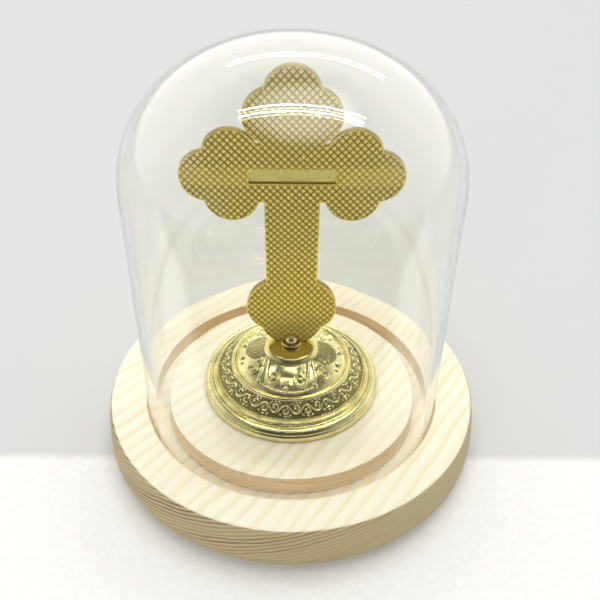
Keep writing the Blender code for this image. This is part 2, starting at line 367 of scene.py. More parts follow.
def gilt(name, light, dark, rough, relief=False):
    """Polished gilding with faint clouding and scratches.

    With relief it goes dull where the mesh's relief attribute is low, and dark there with painted
    shade in the hollows.
    """
    look = Look(name, Metallic=1.0)
    cloud = look.noise(0.16, 3.0, 0.6)
    fine = look.noise(3.2, 2.0, 0.6)
    wear_and_hollow_shade = look.times(look.span(cloud, 0.35, 0.7), 0.35)
    roughness = look.span(cloud, 0.3, 0.7, rough * 0.75, rough * 1.35)
    if relief:
        high = look.attribute("relief")
        # Low relief gets painted shade: the hollows go dark as well as rougher.
        low = look.span(high, 0.0, 0.55, 1.0, 0.0, smooth=True)
        wear_and_hollow_shade = look.math("MAXIMUM", wear_and_hollow_shade, look.times(low, 0.9))
        roughness = look.plus(roughness, look.times(low, 0.22))
    color = look.mix(wear_and_hollow_shade, light, dark)
    look.bump(fine, 0.02, 0.6)
    return look.set(Base_Color=color, Roughness=roughness)


def cross_gilt():
    """The plate's gilding, with painted light: a painted darker, browner reflection up the arms,
    painted shade in the knurl's creases, and a painted dark reflection on faces that point up.
    """
    look = Look("cross_gilt", Metallic=0.68)
    _, _, z = look.split(look.point)
    cloud = look.noise(0.09, 2.0, 0.55)
    fine = look.noise(2.4, 3.0, 0.6)
    # Painted reflection: the colours turn darker and browner higher up the arms.
    height = look.plus(z, look.times(cloud, 14.0))
    up = look.span(height, 62.0, 108.0, smooth=True)
    # Painted shade in the knurl's creases: where the relief attribute is low, the colour goes to
    # deep.
    valley = look.span(look.attribute("relief"), 0.0, 0.7, 1.0, 0.0, smooth=True)
    bright = look.mix(up, (1.0, 0.83, 0.20), (0.88, 0.72, 0.19))
    deep = look.mix(up, (0.36, 0.22, 0.035), (0.28, 0.19, 0.035))
    color = look.mix(look.times(valley, 0.85), bright, deep)
    color = look.mix(look.span(fine, 0.5, 0.85, 0.0, 0.2), color, deep)
    # Painted dark reflection on faces that point up, kept off the slot's lips.
    _, _, nz = look.split(look.normal())
    from_slot = look.math("ABSOLUTE", look.math("SUBTRACT", z, AXIS + float(STAND[2])))
    upper = look.times(look.span(nz, 0.15, 0.7, 0.0, 0.8),
                       look.span(from_slot, SLOT_HALF + 0.5, SLOT_HALF + 1.0))
    color = look.mix(upper, color, (0.16, 0.12, 0.04))
    look.bump(fine, 0.02, 0.6)
    return look.set(Base_Color=color, Roughness=look.span(cloud, 0.3, 0.7, 0.16, 0.28))


def steel(name, tint, rough):
    """Turned steel with fine rings about the stand's axis."""
    look = Look(name, Metallic=1.0)
    x, y, z = look.split(look.point)
    radius = look.vector("LENGTH", look.join(look.math("SUBTRACT", x, float(STAND[0])),
                                             look.math("SUBTRACT", y, float(STAND[1])), 0.0))
    turned = look.noise(6.0, 2.0, 0.7, look.join(radius, 0.0, look.times(z, 2.0)))
    spots = look.noise(0.7, 3.0, 0.6)
    color = look.mix(look.span(spots, 0.5, 0.75), tint, tuple(c * 0.6 for c in tint))
    look.bump(turned, 0.03, 0.5)
    return look.set(Base_Color=color, Roughness=look.span(spots, 0.3, 0.7, rough, rough + 0.2))


def clear_glass():
    """Clear glass with a faintly uneven shine, which lets light straight in to what it covers."""
    look = Look("clear_glass", Transmission_Weight=1.0, IOR=1.48, Roughness=0.0,
                Base_Color=(0.99, 0.99, 0.965, 1.0))
    uneven = look.noise(0.03, 1.0)
    look.set(Specular_IOR_Level=look.span(uneven, 0.3, 0.7, 0.46, 0.54))
    path = look.tree.nodes.new("ShaderNodeLightPath")
    through = look.math("MAXIMUM", path.outputs["Is Shadow Ray"], path.outputs["Is Diffuse Ray"])
    clear = look.tree.nodes.new("ShaderNodeBsdfTransparent")
    clear.inputs["Color"].default_value = (0.97, 0.97, 0.955, 1.0)
    mix = look.tree.nodes.new("ShaderNodeMixShader")
    look.put(mix.inputs[0], through)
    look.put(mix.inputs[1], look.shader.outputs[0])
    look.put(mix.inputs[2], clear.outputs[0])
    look.put(look.tree.nodes["Material Output"].inputs["Surface"], mix.outputs[0])
    return look.material


# ---- wooden base

def build_base():
    """The turned board: outer ring, bulged side, and the groove around the raised disc."""
    top, disc, side = 18.0, DISC_TOP, BASE_R
    floor = DOME[0][2] - GAP
    disc_r, fillet = 43.3, 0.5
    outer = spline([(63.35, top - 0.35), (63.8, top - 1.2), (64.4, top - 4.5),
                    (side - 0.2, top - 8.5), (side, 5.5), (side - 0.4, 3.0),
                    (side - 1.4, 1.0), (side - 3.0, 0.0)], 0.8)
    profile = (
        [(62.5, top)] + outer + [(0.0, 0.0), (0.0, disc)]
        + [(disc_r * k / 6, disc) for k in range(1, 6)]
        + arc(disc_r - fillet, disc - fillet, fillet, 90, 0, 4)
        + [(disc_r, disc - 3.0), (disc_r, floor + 0.4), (disc_r + 0.4, floor)]
        + [(GROOVE_R - 0.4, floor), (GROOVE_R, floor + 0.4)]
        + arc(GROOVE_R + fillet, top - fillet, fillet, 180, 90, 4)
        + [(56.0, top)]
    )
    verts, faces = lathe(profile, 240)
    add_mesh("pine_base", verts, faces, pine(), "base", ["wooden_base"], sharp=50)


# ---- glass dome

DOME_WALL = 2.2
DOME_CAP = 38.4              # height of the curved crown
DOME_POWER = 2.08            # of the crown's curve: 2 would be an ellipse
EASE, EASE_ABOVE = 16.9, 12.0    # soft start of the bend: its height, and its share of the cap
CROWN_STEPS, EASE_STEPS, WALL_STEPS = 80, 24, 72


def dome_section():
    """The outer line from the crown down to the straight wall, and the inner one beside it."""
    radius, top = DOME[1][0], DOME[1][2]
    spring = top - DOME_CAP
    ease_top = spring + EASE_ABOVE
    outer = []
    for i in range(CROWN_STEPS + 1):
        t = math.pi / 2 * (1 - i / CROWN_STEPS)
        z = spring + DOME_CAP * abs(math.sin(t)) ** (2 / DOME_POWER)
        if z > ease_top + 0.3:       # no sliver above the eased stretch
            outer.append((radius * abs(math.cos(t)) ** (2 / DOME_POWER), z))
    outer[0] = (0.0, top)
    drop = radius * (1 - (1 - (EASE_ABOVE / DOME_CAP) ** DOME_POWER) ** (1 / DOME_POWER))
    for k in range(EASE_STEPS + 1):
        left = 1 - k / EASE_STEPS
        outer.append((radius - drop * left**3, ease_top - EASE + EASE * left))
    tangent = np.gradient(np.array(outer), axis=0)
    tangent[0], tangent[-1] = (1.0, 0.0), (0.0, -1.0)
    tangent /= np.linalg.norm(tangent, axis=1)[:, None]
    inner = [(r + DOME_WALL * down, z - DOME_WALL * out)
             for (r, z), (out, down) in zip(outer, tangent)]
    return outer, inner


def build_dome():
    """The glass: eased crown, straight wall and round lip, of one thickness throughout."""
    outer, inner = dome_section()
    radius, wall_top = outer[-1]
    half = DOME_WALL / 2
    lip = DOME[0][2] + half
    wall_z = [wall_top + (lip - wall_top) * k / WALL_STEPS for k in range(1, WALL_STEPS + 1)]
    profile = (
        outer + [(radius, z) for z in wall_z]
        + arc(radius - half, lip, half, 0, -180, 8)[1:]
        + [(radius - DOME_WALL, z) for z in wall_z[-2::-1]]
        + inner[::-1]
    )
    verts, faces = lathe(profile, 256)
    add_mesh("glass_cloche", verts, faces, clear_glass(), "dome", ["glass_dome"], sharp=60)


# ---- foot: mouldings, frieze and scrolls in relief

FOOT_SEGMENTS = 960
FRIEZE_IN, FRIEZE_OUT = 21.0, 25.1   # its radii
FRIEZE_LENGTH = 5.6                  # between them, along the slope
FRIEZE_MID_R = 22.9
FRIEZE_REPEATS = 20
SCROLL_ANGLES = (-6.0, 174.0)        # degrees from -Y toward +X
PALMETTE_ANGLES = (84.0, -96.0)
ORNAMENT_REACH = 62.0                # degrees that each ornament may cover to each side
ORNAMENT_IN, ORNAMENT_OUT = 9.0, 19.2
PLAIN, ORNAMENT, FRIEZE, PEARL_BED = range(4)
# Relief lower than 0.55 of FULL_RELIEF also gets painted shade, darkest on the flat ground.
FULL_RELIEF = 0.22                   # height at which relief is fully polished


def bead(distance, half, height):
    """Height of a round bead at a distance from its centre line."""
    return height * np.sqrt(np.clip(1.0 - (distance / half) ** 2, 0.0, 1.0))


def stroke(u, v, points, half, height):
    """A bead that follows a line of points."""
    p = np.array(points, float)
    best = np.full(u.shape, 1e9)
    for (ax, ay), (bx, by) in zip(p[:-1], p[1:]):
        dx, dy = bx - ax, by - ay
        t = np.clip(((u - ax) * dx + (v - ay) * dy) / (dx * dx + dy * dy), 0.0, 1.0)
        best = np.minimum(best, np.hypot(u - ax - t * dx, v - ay - t * dy))
    return bead(best, half, height)


def blob(u, v, cx, cy, across, along, height, turn=0.0):
    """A low dome on an ellipse, turned by an angle in degrees."""
    c, s = math.cos(math.radians(turn)), math.sin(math.radians(turn))
    a, b = (u - cx) * c + (v - cy) * s, -(u - cx) * s + (v - cy) * c
    return bead(np.hypot(a / across, b / along), 1.0, height)


def highest(*heights):
    """The upper surface of shapes that overlap."""
    return np.maximum.reduce(heights)


def plan(radius, degrees):
    """A point on the foot's dome seen from above, by its radius and angle from +v."""
    a = math.radians(degrees)
    return radius * math.sin(a), radius * math.cos(a)


def spiral(cx, cy, start, turns, r0, r1, steps=26):
    """Points that wind in from radius r0 to r1, angles from +u toward +v."""
    out = []
    for k in range(steps + 1):
        t = k / steps
        a = math.radians(start) + TAU * turns * t
        r = r0 + (r1 - r0) * t**1.5
        out.append((cx + r * math.cos(a), cy + r * math.sin(a)))
    return out


def scroll_relief(u, v):
    """Two facing scrolls with a small flower and a pointed leaf between them."""
    cx, cy = plan(14.2, 18.4)
    neck = [plan(8.2, 50.0), plan(9.6, 43.0), plan(11.4, 36.5), plan(12.8, 32.5)]
    curl = spiral(cx, cy, -10.0, 0.98, 2.4, 1.2)
    line = spline(neck + curl[:1], 0.5) + curl[1:]
    outer = spline([plan(9.0, 56.0), plan(11.5, 47.0), plan(14.0, 40.0), plan(16.2, 36.5)], 0.6)
    h = np.zeros(u.shape)
    for us in (u, -u):
        h = highest(h, stroke(us, v, line, 0.52, 0.62), stroke(us, v, outer, 0.34, 0.38),
                    blob(us, v, cx, cy + 0.1, 1.05, 1.05, 0.62),
                    blob(us, v, cx - 3.1, cy + 2.6, 0.55, 0.4, 0.4, 30),
                    blob(us, v, *plan(17.2, 34.0), 0.8, 0.8, 0.5))
    flower = 15.6
    h = highest(h, blob(u, v, 0.0, flower, 0.62, 0.62, 0.6))
    for turn in range(0, 360, 72):
        px, py = plan(0.85, turn)
        h = highest(h, blob(u, v, px, flower + py, 0.45, 0.45, 0.38))
    leaf_base, leaf_tip = 16.6, 18.9
    half = 0.85 * np.clip((leaf_tip - v) / 1.9, 0.01, 1.0)
    leaf = np.clip(1.0 - np.abs(u) / half, 0.0, 1.0)
    leaf = np.where((v > leaf_base) & (v < leaf_tip), leaf, 0.0)
    shield = (np.clip(1.0 - (u / 4.2) ** 2, 0.0, 1.0)
              * np.clip(1.0 - ((v - 9.8) / 3.4) ** 2, 0.0, 1.0))
    return highest(h, 0.42 * np.minimum(1.0, 2.0 * leaf), 0.45 * shield**0.7)


def palmette_relief(u, v):
    """A fan of feathers between two lobes and two curls."""
    h = np.zeros(u.shape)
    for k in range(-5, 6):
        tip = 15.6 - 0.09 * k * k
        line = spline([plan(9.6, 5.5 * k), plan(12.4, 4.6 * k), plan(tip, 4.3 * k)], 0.6)
        h = highest(h, stroke(u, v, line, 0.40, 0.5))
    cx, cy = plan(15.4, 38.5)
    edge = [plan(10.8, 28.0), plan(10.6, 38.0), plan(10.8, 48.0)]
    for us in (u, -u):
        h = highest(h, blob(us, v, *plan(16.9, 10.5), 1.5, 1.15, 0.75, -12),
                    blob(us, v, *plan(17.4, 20.0), 0.6, 0.6, 0.5),
                    stroke(us, v, spiral(cx, cy, 200.0, 0.9, 2.1, 1.5), 0.42, 0.5),
                    stroke(us, v, spiral(cx, cy, 150.0, 0.8, 1.0, 0.7), 0.32, 0.45),
                    stroke(us, v, edge, 0.3, 0.35))
        for k in range(6):
            turn = 31.0 + 3.1 * k
            h = highest(h, blob(us, v, *plan(12.3, turn), 0.26, 0.75, 0.42, -turn))
    return h


def frieze_relief(s, t):
    """A waving vine with a curl in each bay, leaflets and dots; s runs round, t outward."""
    period = TAU * FRIEZE_MID_R / FRIEZE_REPEATS
    s = (s + period / 2) % period - period / 2
    mid, sway = 2.6, 1.3
    wave = [(x, mid + sway * math.sin(TAU * x / period))
            for x in np.linspace(-0.62 * period, 0.62 * period, 44)]
    h = stroke(s, t, wave, 0.24, 0.36)
    quarter = period / 4
    for cx, side in ((quarter, 1.0), (-quarter, -1.0), (quarter - period, 1.0),
                     (period - quarter, -1.0)):
        cy = mid - side * 0.55
        curl = spiral(cx, cy, 60.0 * side, -0.85 * side, 1.15, 0.45, 20)
        leaves = [blob(s, t, cx + dx, cy - side * dy, 0.5, 0.2, 0.3, turn * side)
                  for dx, dy, turn in ((1.45, 1.55, 35), (-1.5, 1.3, -40), (0.1, 1.75, 0))]
        h = highest(h, *leaves, stroke(s, t, curl, 0.22, 0.34),
                    blob(s, t, cx - 0.1, cy, 0.24, 0.24, 0.3),
                    blob(s, t, cx + 0.75 * quarter, cy - side * 1.75, 0.22, 0.22, 0.28))
    return h


def foot_section():
    """The foot's section, from its neck over the rim and back inside: (radius, height, kind)."""
    neck = [(5.6, 15.6), (8.0, 15.55)] + spline([(8.25, 15.3), (8.6, 14.9), (9.3, 14.55)], 0.15)
    dome = spline([(9.3, 14.55), (10.6, 14.05), (12.6, 13.35), (14.6, 12.65),
                   (16.4, 11.85), (17.9, 10.95), (18.9, 10.1), (19.3, 9.55)], 0.2)
    ring = arc(20.15, 9.58, 0.68, 172, 8, 12) + [(20.9, 9.35)]
    frieze = spline([(21.0, 9.3), (22.2, 8.25), (23.6, 6.9), (24.7, 5.85), (25.1, 5.5)], 0.17)
    bed = [(25.2, 5.4), (25.95, 5.36)]
    steps = [(26.02, 5.15), (26.1, 4.9)] + arc(26.45, 4.6, 0.36, 150, 20, 6)
    steps += [(26.85, 4.45), (26.95, 4.32), (27.25, 4.25), (27.35, 3.95), (27.5, 3.55)]
    torus = spline([(27.6, 3.55), (27.95, 3.9), (28.5, 4.05), (29.2, 3.85), (29.8, 3.4),
                    (30.15, 2.95), (30.28, 2.62)], 0.2)
    wall = [(30.26, 2.5), (30.4, 2.42), (FOOT_R, 0.45), (FOOT_R - 0.02, 0.2),
            (FOOT_R - 0.15, 0.0)]
    hollow = [(28.4, 0.0), (28.2, 1.6), (24.6, 2.9), (21.2, 5.6), (18.2, 7.6), (14.6, 9.4),
              (11.6, 10.2), (5.6, 10.2)]
    rows = []
    for part, kind in ((neck, PLAIN), (dome[1:], ORNAMENT), (ring, PLAIN), (frieze, FRIEZE),
                       (bed, PEARL_BED), (steps + torus + wall + hollow, PLAIN)):
        rows += [(r, z, kind) for r, z in part]
    return np.array(rows)


def foot_relief(r, kind, angle):
    """Height of the ornament over each point of the section, at each angle around it."""
    relief = np.zeros((len(r), len(angle)))
    zone = kind == ORNAMENT
    for centers, pattern in ((SCROLL_ANGLES, scroll_relief), (PALMETTE_ANGLES, palmette_relief)):
        for center in centers:
            off = (angle - math.radians(center) + math.pi) % TAU - math.pi
            near = np.abs(off) < math.radians(ORNAMENT_REACH)
            grid_r = np.repeat(r[zone][:, None], near.sum(), 1)
            u, v = grid_r * np.sin(off[near]), grid_r * np.cos(off[near])
            picked = np.ix_(zone, near)
            relief[picked] = highest(relief[picked], pattern(u, v))
    edge = np.minimum((r[zone] - ORNAMENT_IN) / 0.6, (ORNAMENT_OUT - r[zone]) / 0.5)
    relief[zone] *= np.clip(edge, 0.0, 1.0)[:, None]
    zone = kind == FRIEZE
    t = (r[zone] - FRIEZE_IN) / (FRIEZE_OUT - FRIEZE_IN) * FRIEZE_LENGTH
    s = np.repeat((angle * FRIEZE_MID_R)[None, :], zone.sum(), 0)
    relief[zone] = frieze_relief(s, np.repeat(t[:, None], len(angle), 1))
    relief[zone] *= np.clip(np.minimum(t, FRIEZE_LENGTH - t) / 0.25, 0.0, 1.0)[:, None]
    return relief


def build_foot():
    """The hollow casting, with its ornament raised from the turned section."""
    r, z, kind = foot_section().T
    angle = np.radians(np.arange(FOOT_SEGMENTS) * 360.0 / FOOT_SEGMENTS)  # from -Y toward +X
    relief = foot_relief(r, kind, angle)
    tangent = np.stack([np.roll(r, -1) - np.roll(r, 1), np.roll(z, -1) - np.roll(z, 1)], 1)
    tangent /= np.linalg.norm(tangent, axis=1)[:, None]
    rr = r[:, None] - relief * tangent[:, 1:2]
    zz = z[:, None] + relief * tangent[:, 0:1]
    verts = np.stack([STAND[0] + rr * np.sin(angle), STAND[1] - rr * np.cos(angle),
                      STAND[2] + zz], 2).reshape(-1, 3)
    i = np.arange(len(r))[:, None] * FOOT_SEGMENTS
    j = np.roll(i, -1, 0)
    a = np.arange(FOOT_SEGMENTS)[None, :]
    b = np.roll(a, -1, 1)
    faces = np.stack([i + a, j + a, j + b, i + b], 2).reshape(-1, 4)
    gold = gilt("foot_gilt", (0.95, 0.88, 0.46), (0.19, 0.17, 0.05), 0.09, relief=True)
    obj = add_mesh("foot_relief", verts, faces.tolist(), gold, "cross_stand", ["foot_shell"], 60)
    # Low values give painted shade in foot_gilt: the frieze's ground and the pearls' bed, at 0, go
    # dark; the plain turning and the ornament, at 0.55 and up, get none.
    polished = np.clip(relief / FULL_RELIEF, 0.0, 1.0)
    polished[kind == PLAIN] = 1.0
    polished[kind == ORNAMENT] = 0.55 + 0.45 * polished[kind == ORNAMENT]
    set_attribute(obj, "relief", polished.ravel())


def build_pearls():
    """The row of small pearls outside the frieze."""
    count, ring_r, size, sides = 150, 25.6, 0.42, 10
    bottom, rise = 5.3, 1.15 * size
    levels = ((1.0, 0.0), (0.92, 0.42), (0.68, 0.76), (0.34, 0.95))
    verts, faces = [], []
    for k in range(count):
        a = TAU * k / count
        cx, cy = STAND[0] + ring_r * math.sin(a), STAND[1] - ring_r * math.cos(a)
        z = STAND[2] + bottom
        start = len(verts)
        for across, up in levels:
            for m in range(sides):
                b = TAU * m / sides
                verts.append((cx + size * across * math.cos(b),
                              cy + size * across * math.sin(b), z + rise * up))
        verts.append((cx, cy, z + rise))
        rings = [[start + sides * level + m for m in range(sides)] for level in range(len(levels))]
        for low, high in zip(rings, rings[1:]):
            faces += [[low[m - 1], low[m], high[m], high[m - 1]] for m in range(sides)]
        faces += [[rings[-1][m - 1], rings[-1][m], len(verts) - 1] for m in range(sides)]
        faces.append(rings[0][::-1])
    gold = gilt("pearl_gilt", (0.93, 0.86, 0.46), (0.45, 0.40, 0.14), 0.16)
    add_mesh("foot_pearls", verts, faces, gold, "cross_stand")


def build_turned_parts():
    """The flat cap, the collar and the ball on the neck, cut away where the cross stands."""
    def cut(obj, half_x, back, bottom, front=8.0):
        """Cuts a box out of obj that reaches up past the stand."""
        cut_box(obj, STAND + np.array([-half_x, back, bottom]),
                STAND + np.array([half_x, front, 60.0]))

    def turned(name, profile, segments, tint, node, sharp):
        verts, faces = lathe(profile, segments, STAND)
        return add_mesh(name, verts, faces, tint, "cross_stand", [node], sharp)

    top, cap_r, stub_z = above_foot(CAP, 1), half_width(CAP), above_foot(CAP, 0)
    under, stub_r, bore = top - 1.0, 5.2, 1.05
    cap = (
        [(bore, top), (5.0, top)]
        + spline([(7.7, top), (8.25, top - 0.1), (8.8, top - 0.38), (cap_r, top - 0.72)], 0.12)
        + [(cap_r - 0.12, top - 0.9), (cap_r - 0.5, under), (stub_r, under), (stub_r, stub_z),
           (bore, stub_z)]
    )
    tint = gilt("cap_gilt", (0.88, 0.80, 0.40), (0.52, 0.45, 0.16), 0.10)
    obj = turned("neck_cap", cap, 160, tint, "foot_cap", 40)
    back, front = PLATE[0][1] - STAND[1], PLATE[1][1] - STAND[1]
    cut(obj, TONGUE_X + GAP, back - GAP, TONGUE_Z - GAP, front + GAP)

    low, high = above_foot(COLLAR, 0), above_foot(COLLAR, 1)
    half, hole_r = (high - low) / 2, 2.35
    collar = (arc(half_width(COLLAR) - half, low + half, half, 90, -90, 12)
              + [(hole_r, low), (hole_r, high - 0.45)])
    tint = gilt("collar_gilt", (0.84, 0.76, 0.38), (0.40, 0.34, 0.12), 0.12)
    obj = turned("ball_collar", collar, 128, tint, "collar_ring", 50)
    cut(obj, 6.0, back - GAP, top + 0.1)

    ball_r, shank, end = half_width(BALL), 0.75, above_foot(BALL, 0)
    center = above_foot(BALL, 1) - ball_r
    ball = ([(0.0, center + ball_r)] + arc(0.0, center, ball_r, 88, -20, 40)
            + [(shank, top + 0.45), (shank, end), (0.0, end)])
    tint = gilt("ball_gilt", (0.90, 0.83, 0.46), (0.55, 0.48, 0.18), 0.09)
    obj = turned("ball_polished", ball, 96, tint, "ball_knop", 50)
    cut(obj, 6.0, shank + 0.02, top + 0.1)


# ---- cross

LOBE, FOOT_LOBE = 8.45, 10.2  # radius of the buds above and at the foot
TIP_RISE = 25.05              # from the crossing's centre to the top bud's
AXIS = above_foot(PLATE, 1) - TIP_RISE - LOBE    # height of the crossing's centre
TOP_TIP = (0.0, AXIS + TIP_RISE, LOBE)           # each bud: x, z and radius
TOP_SIDE = (6.0, AXIS + 18.9, LOBE)
ARM_UP = (18.3, AXIS + 6.85, LOBE)
ARM_TIP = (25.35, AXIS, LOBE)
ARM_LOW = (18.3, AXIS - 6.85, LOBE)
FOOT_SIDE = (4.75, AXIS - 48.7, FOOT_LOBE)
FOOT_TIP = (0.0, AXIS - 54.6, FOOT_LOBE)
GAP_Z, SHOULDER_Z = AXIS + 10.2, AXIS - 8.75
SOLE_Z = above_foot(CAP, 1) + 0.35
NECK_X, SHOULDER_X, SHAFT_X, TONGUE_X = 9.0, 8.5, 8.4, 2.0
TONGUE_Z = above_foot(PLATE, 0)
SLOT_X, SLOT_HALF, SLOT_DEPTH = 13.0, 2.35, 1.5
KNURL_X, KNURL_Z, KNURL_DEPTH, KNURL_FLAT = 2.2, 2.36, 0.32, 0.66
RIM = 0.40                   # width of the plain border
EDGE = 0.20                  # rounding of the plate's edges


def notch(a, b):
    """The outer of the two points where the equal circles a and b cross."""
    dx, dz = b[0] - a[0], b[1] - a[1]
    half = math.hypot(dx, dz) / 2
    rise = math.sqrt(a[2]**2 - half**2)
    mx, mz = (a[0] + b[0]) / 2, (a[1] + b[1]) / 2
    nx, nz = -dz / (2 * half) * rise, dx / (2 * half) * rise
    return max((mx + nx, mz + nz), (mx - nx, mz - nz))


def bud(center, start, end):
    """Points from start to end, clockwise on a bud's circle, without start."""
    a = math.atan2(start[1] - center[1], start[0] - center[0])
    b = math.atan2(end[1] - center[1], end[0] - center[0])
    if b > a:
        b -= TAU
    radius = center[2]
    steps = max(4, round(abs(b - a) * radius / 0.55))
    return [(center[0] + radius * math.cos(a + (b - a) * i / steps),
             center[1] + radius * math.sin(a + (b - a) * i / steps)) for i in range(1, steps + 1)]


def line(start, end, step=1.2):
    """Points from start to end, without start."""
    n = max(1, round(math.dist(start, end) / step))
    return [(start[0] + (end[0] - start[0]) * i / n, start[1] + (end[1] - start[1]) * i / n)
            for i in range(1, n + 1)]


def cross_outline():
    """The plate's outline, (x, z) points counter-clockwise seen from -Y."""
    def reach_z(center, x, side):
        return center[1] + side * math.sqrt(center[2]**2 - (x - center[0]) ** 2)

    def reach_x(center, z, side=-1):
        return center[0] + side * math.sqrt(center[2]**2 - (z - center[1]) ** 2)

    tip = (0.0, TOP_TIP[1] + LOBE)
    neck = (NECK_X, reach_z(TOP_SIDE, NECK_X, -1))
    arm_start = (reach_x(ARM_UP, GAP_Z), GAP_Z)
    arm_notch = notch(ARM_UP, ARM_TIP)
    low_notch = (arm_notch[0], 2 * AXIS - arm_notch[1])
    arm_end = (reach_x(ARM_LOW, SHOULDER_Z), SHOULDER_Z)
    join = (SHAFT_X, reach_z(FOOT_SIDE, SHAFT_X, 1))
    sole = (reach_x(FOOT_TIP, SOLE_Z, 1), SOLE_Z)
    right = [tip]
    for center, end in ((TOP_TIP, notch(TOP_TIP, TOP_SIDE)), (TOP_SIDE, neck)):
        right += bud(center, right[-1], end)
    right += [(NECK_X, GAP_Z), arm_start]
    for center, end in ((ARM_UP, arm_notch), (ARM_TIP, low_notch), (ARM_LOW, arm_end)):
        right += bud(center, right[-1], end)
    right += [(SHOULDER_X, SHOULDER_Z)] + line((SHOULDER_X, SHOULDER_Z), join)
    for center, end in ((FOOT_SIDE, notch(FOOT_SIDE, FOOT_TIP)), (FOOT_TIP, sole)):
        right += bud(center, right[-1], end)
    right += line(sole, (TONGUE_X, SOLE_Z)) + line((TONGUE_X, SOLE_Z), (TONGUE_X, TONGUE_Z))
    left = [(-x, z) for x, z in right[1:]]
    return np.array(right[:1] + left + right[:0:-1])


def inset(outline, distance):
    """The outline moved inward by a distance, corner for corner."""
    before, after = np.roll(outline, 1, 0), np.roll(outline, -1, 0)
    e1, e2 = outline - before, after - outline
    n1 = np.stack([-e1[:, 1], e1[:, 0]], 1) / np.linalg.norm(e1, axis=1)[:, None]
    n2 = np.stack([-e2[:, 1], e2[:, 0]], 1) / np.linalg.norm(e2, axis=1)[:, None]
    mitre = n1 + n2
    mitre /= np.maximum((mitre**2).sum(1), 0.9)[:, None] / 2.0
    return outline + mitre * distance


def inside(points, outline):
    """Which points lie inside a closed outline, by counting edges to their right."""
    x, z = points[:, 0][:, None], points[:, 1][:, None]
    a, b = outline, np.roll(outline, -1, 0)
    crosses = (a[:, 1] > z) != (b[:, 1] > z)
    slope = (z - a[:, 1]) / np.where(b[:, 1] == a[:, 1], 1e-12, b[:, 1] - a[:, 1])
    return (crosses & (x < a[:, 0] + slope * (b[:, 0] - a[:, 0]))).sum(1) % 2 == 1


def rectangle(half_x, half_z):
    return np.array([(-half_x, AXIS - half_z), (half_x, AXIS - half_z),
                     (half_x, AXIS + half_z), (-half_x, AXIS + half_z)])


def clip_line(point, direction, outline, beyond):
    """The stretches of a line inside an outline, each made longer by beyond."""
    a, b = outline, np.roll(outline, -1, 0)
    e = b - a
    cross = direction[0] * e[:, 1] - direction[1] * e[:, 0]
    safe = np.where(np.abs(cross) < 1e-9, 1e-9, cross)
    w = a - point
    t = (w[:, 0] * e[:, 1] - w[:, 1] * e[:, 0]) / safe
    s = (w[:, 0] * direction[1] - w[:, 1] * direction[0]) / safe
    hits = np.sort(t[(np.abs(cross) > 1e-9) & (s >= 0.0) & (s < 1.0)])
    hits = hits[:len(hits) // 2 * 2].reshape(-1, 2)
    direction = np.array(direction)
    return [(point + direction * (lo - beyond), point + direction * (hi + beyond))
            for lo, hi in hits if hi - lo > 0.05]


def knurl_height(x, z):
    """0 in the valleys and 1 on the flat tops of the diamonds."""
    a, b = x / KNURL_X + (z - AXIS) / KNURL_Z, x / KNURL_X - (z - AXIS) / KNURL_Z
    off = np.maximum(np.abs(a - np.floor(a) - 0.5), np.abs(b - np.floor(b) - 0.5)) * 2.0
    return np.clip((1.0 - off) / (1.0 - KNURL_FLAT), 0.0, 1.0)


def knurl_lines(field):
    """The creases of the knurl, clipped to the field."""
    found = []
    lo, hi = field.min(0), field.max(0)
    diagonal = np.array([KNURL_X, KNURL_Z]) / math.hypot(KNURL_X, KNURL_Z)
    reach = int((hi[0] - lo[0]) / KNURL_X + (hi[1] - lo[1]) / KNURL_Z) + 2
    for k in range(-reach, reach + 1):
        for shift in (0.0, 0.5 - KNURL_FLAT / 2, 0.5 + KNURL_FLAT / 2):
            level = k + shift
            found += clip_line(np.array([0.0, AXIS + level * KNURL_Z]),
                               (diagonal[0], -diagonal[1]), field, 0.12)
            found += clip_line(np.array([0.0, AXIS - level * KNURL_Z]), diagonal, field, 0.12)
    for k in range(-reach, reach + 1):
        if lo[0] < k * KNURL_X / 2 < hi[0]:
            found += clip_line(np.array([k * KNURL_X / 2, lo[1] - 5]), (0.0, 1.0), field, 0.12)
        if lo[1] < AXIS + k * KNURL_Z / 2 < hi[1]:
            found += clip_line(np.array([lo[0] - 5, AXIS + k * KNURL_Z / 2]), (1.0, 0.0),
                               field, 0.12)
    return found


def face_of_plate(outer, field, slot, lip, creases):
    """Triangles of one face: points, and triangles of the border and of the field."""
    loops = [outer, field] + ([slot, lip] if slot is not None else [])
    points, edges = [], []
    for loop in loops:
        start = len(points)
        points += loop.tolist()
        edges += [(start + i, start + (i + 1) % len(loop)) for i in range(len(loop))]
    for a, b in creases:
        edges.append((len(points), len(points) + 1))
        points += [tuple(a), tuple(b)]
    verts, _, triangles, origin, _, _ = delaunay_2d_cdt(
        [Vector(p) for p in points], edges, [], 0, 1e-4)
    verts = np.array([tuple(v) for v in verts])
    triangles = np.array(triangles)
    centers = verts[triangles].mean(1)
    keep = inside(centers, outer)
    on_field = inside(centers, field)
    if slot is not None:
        keep &= ~inside(centers, slot)
        on_field &= ~inside(centers, lip)
    first = {}
    for index, sources in enumerate(origin):
        for source in sources:
            first[source] = index
    return verts, triangles[keep & ~on_field], triangles[keep & on_field], first


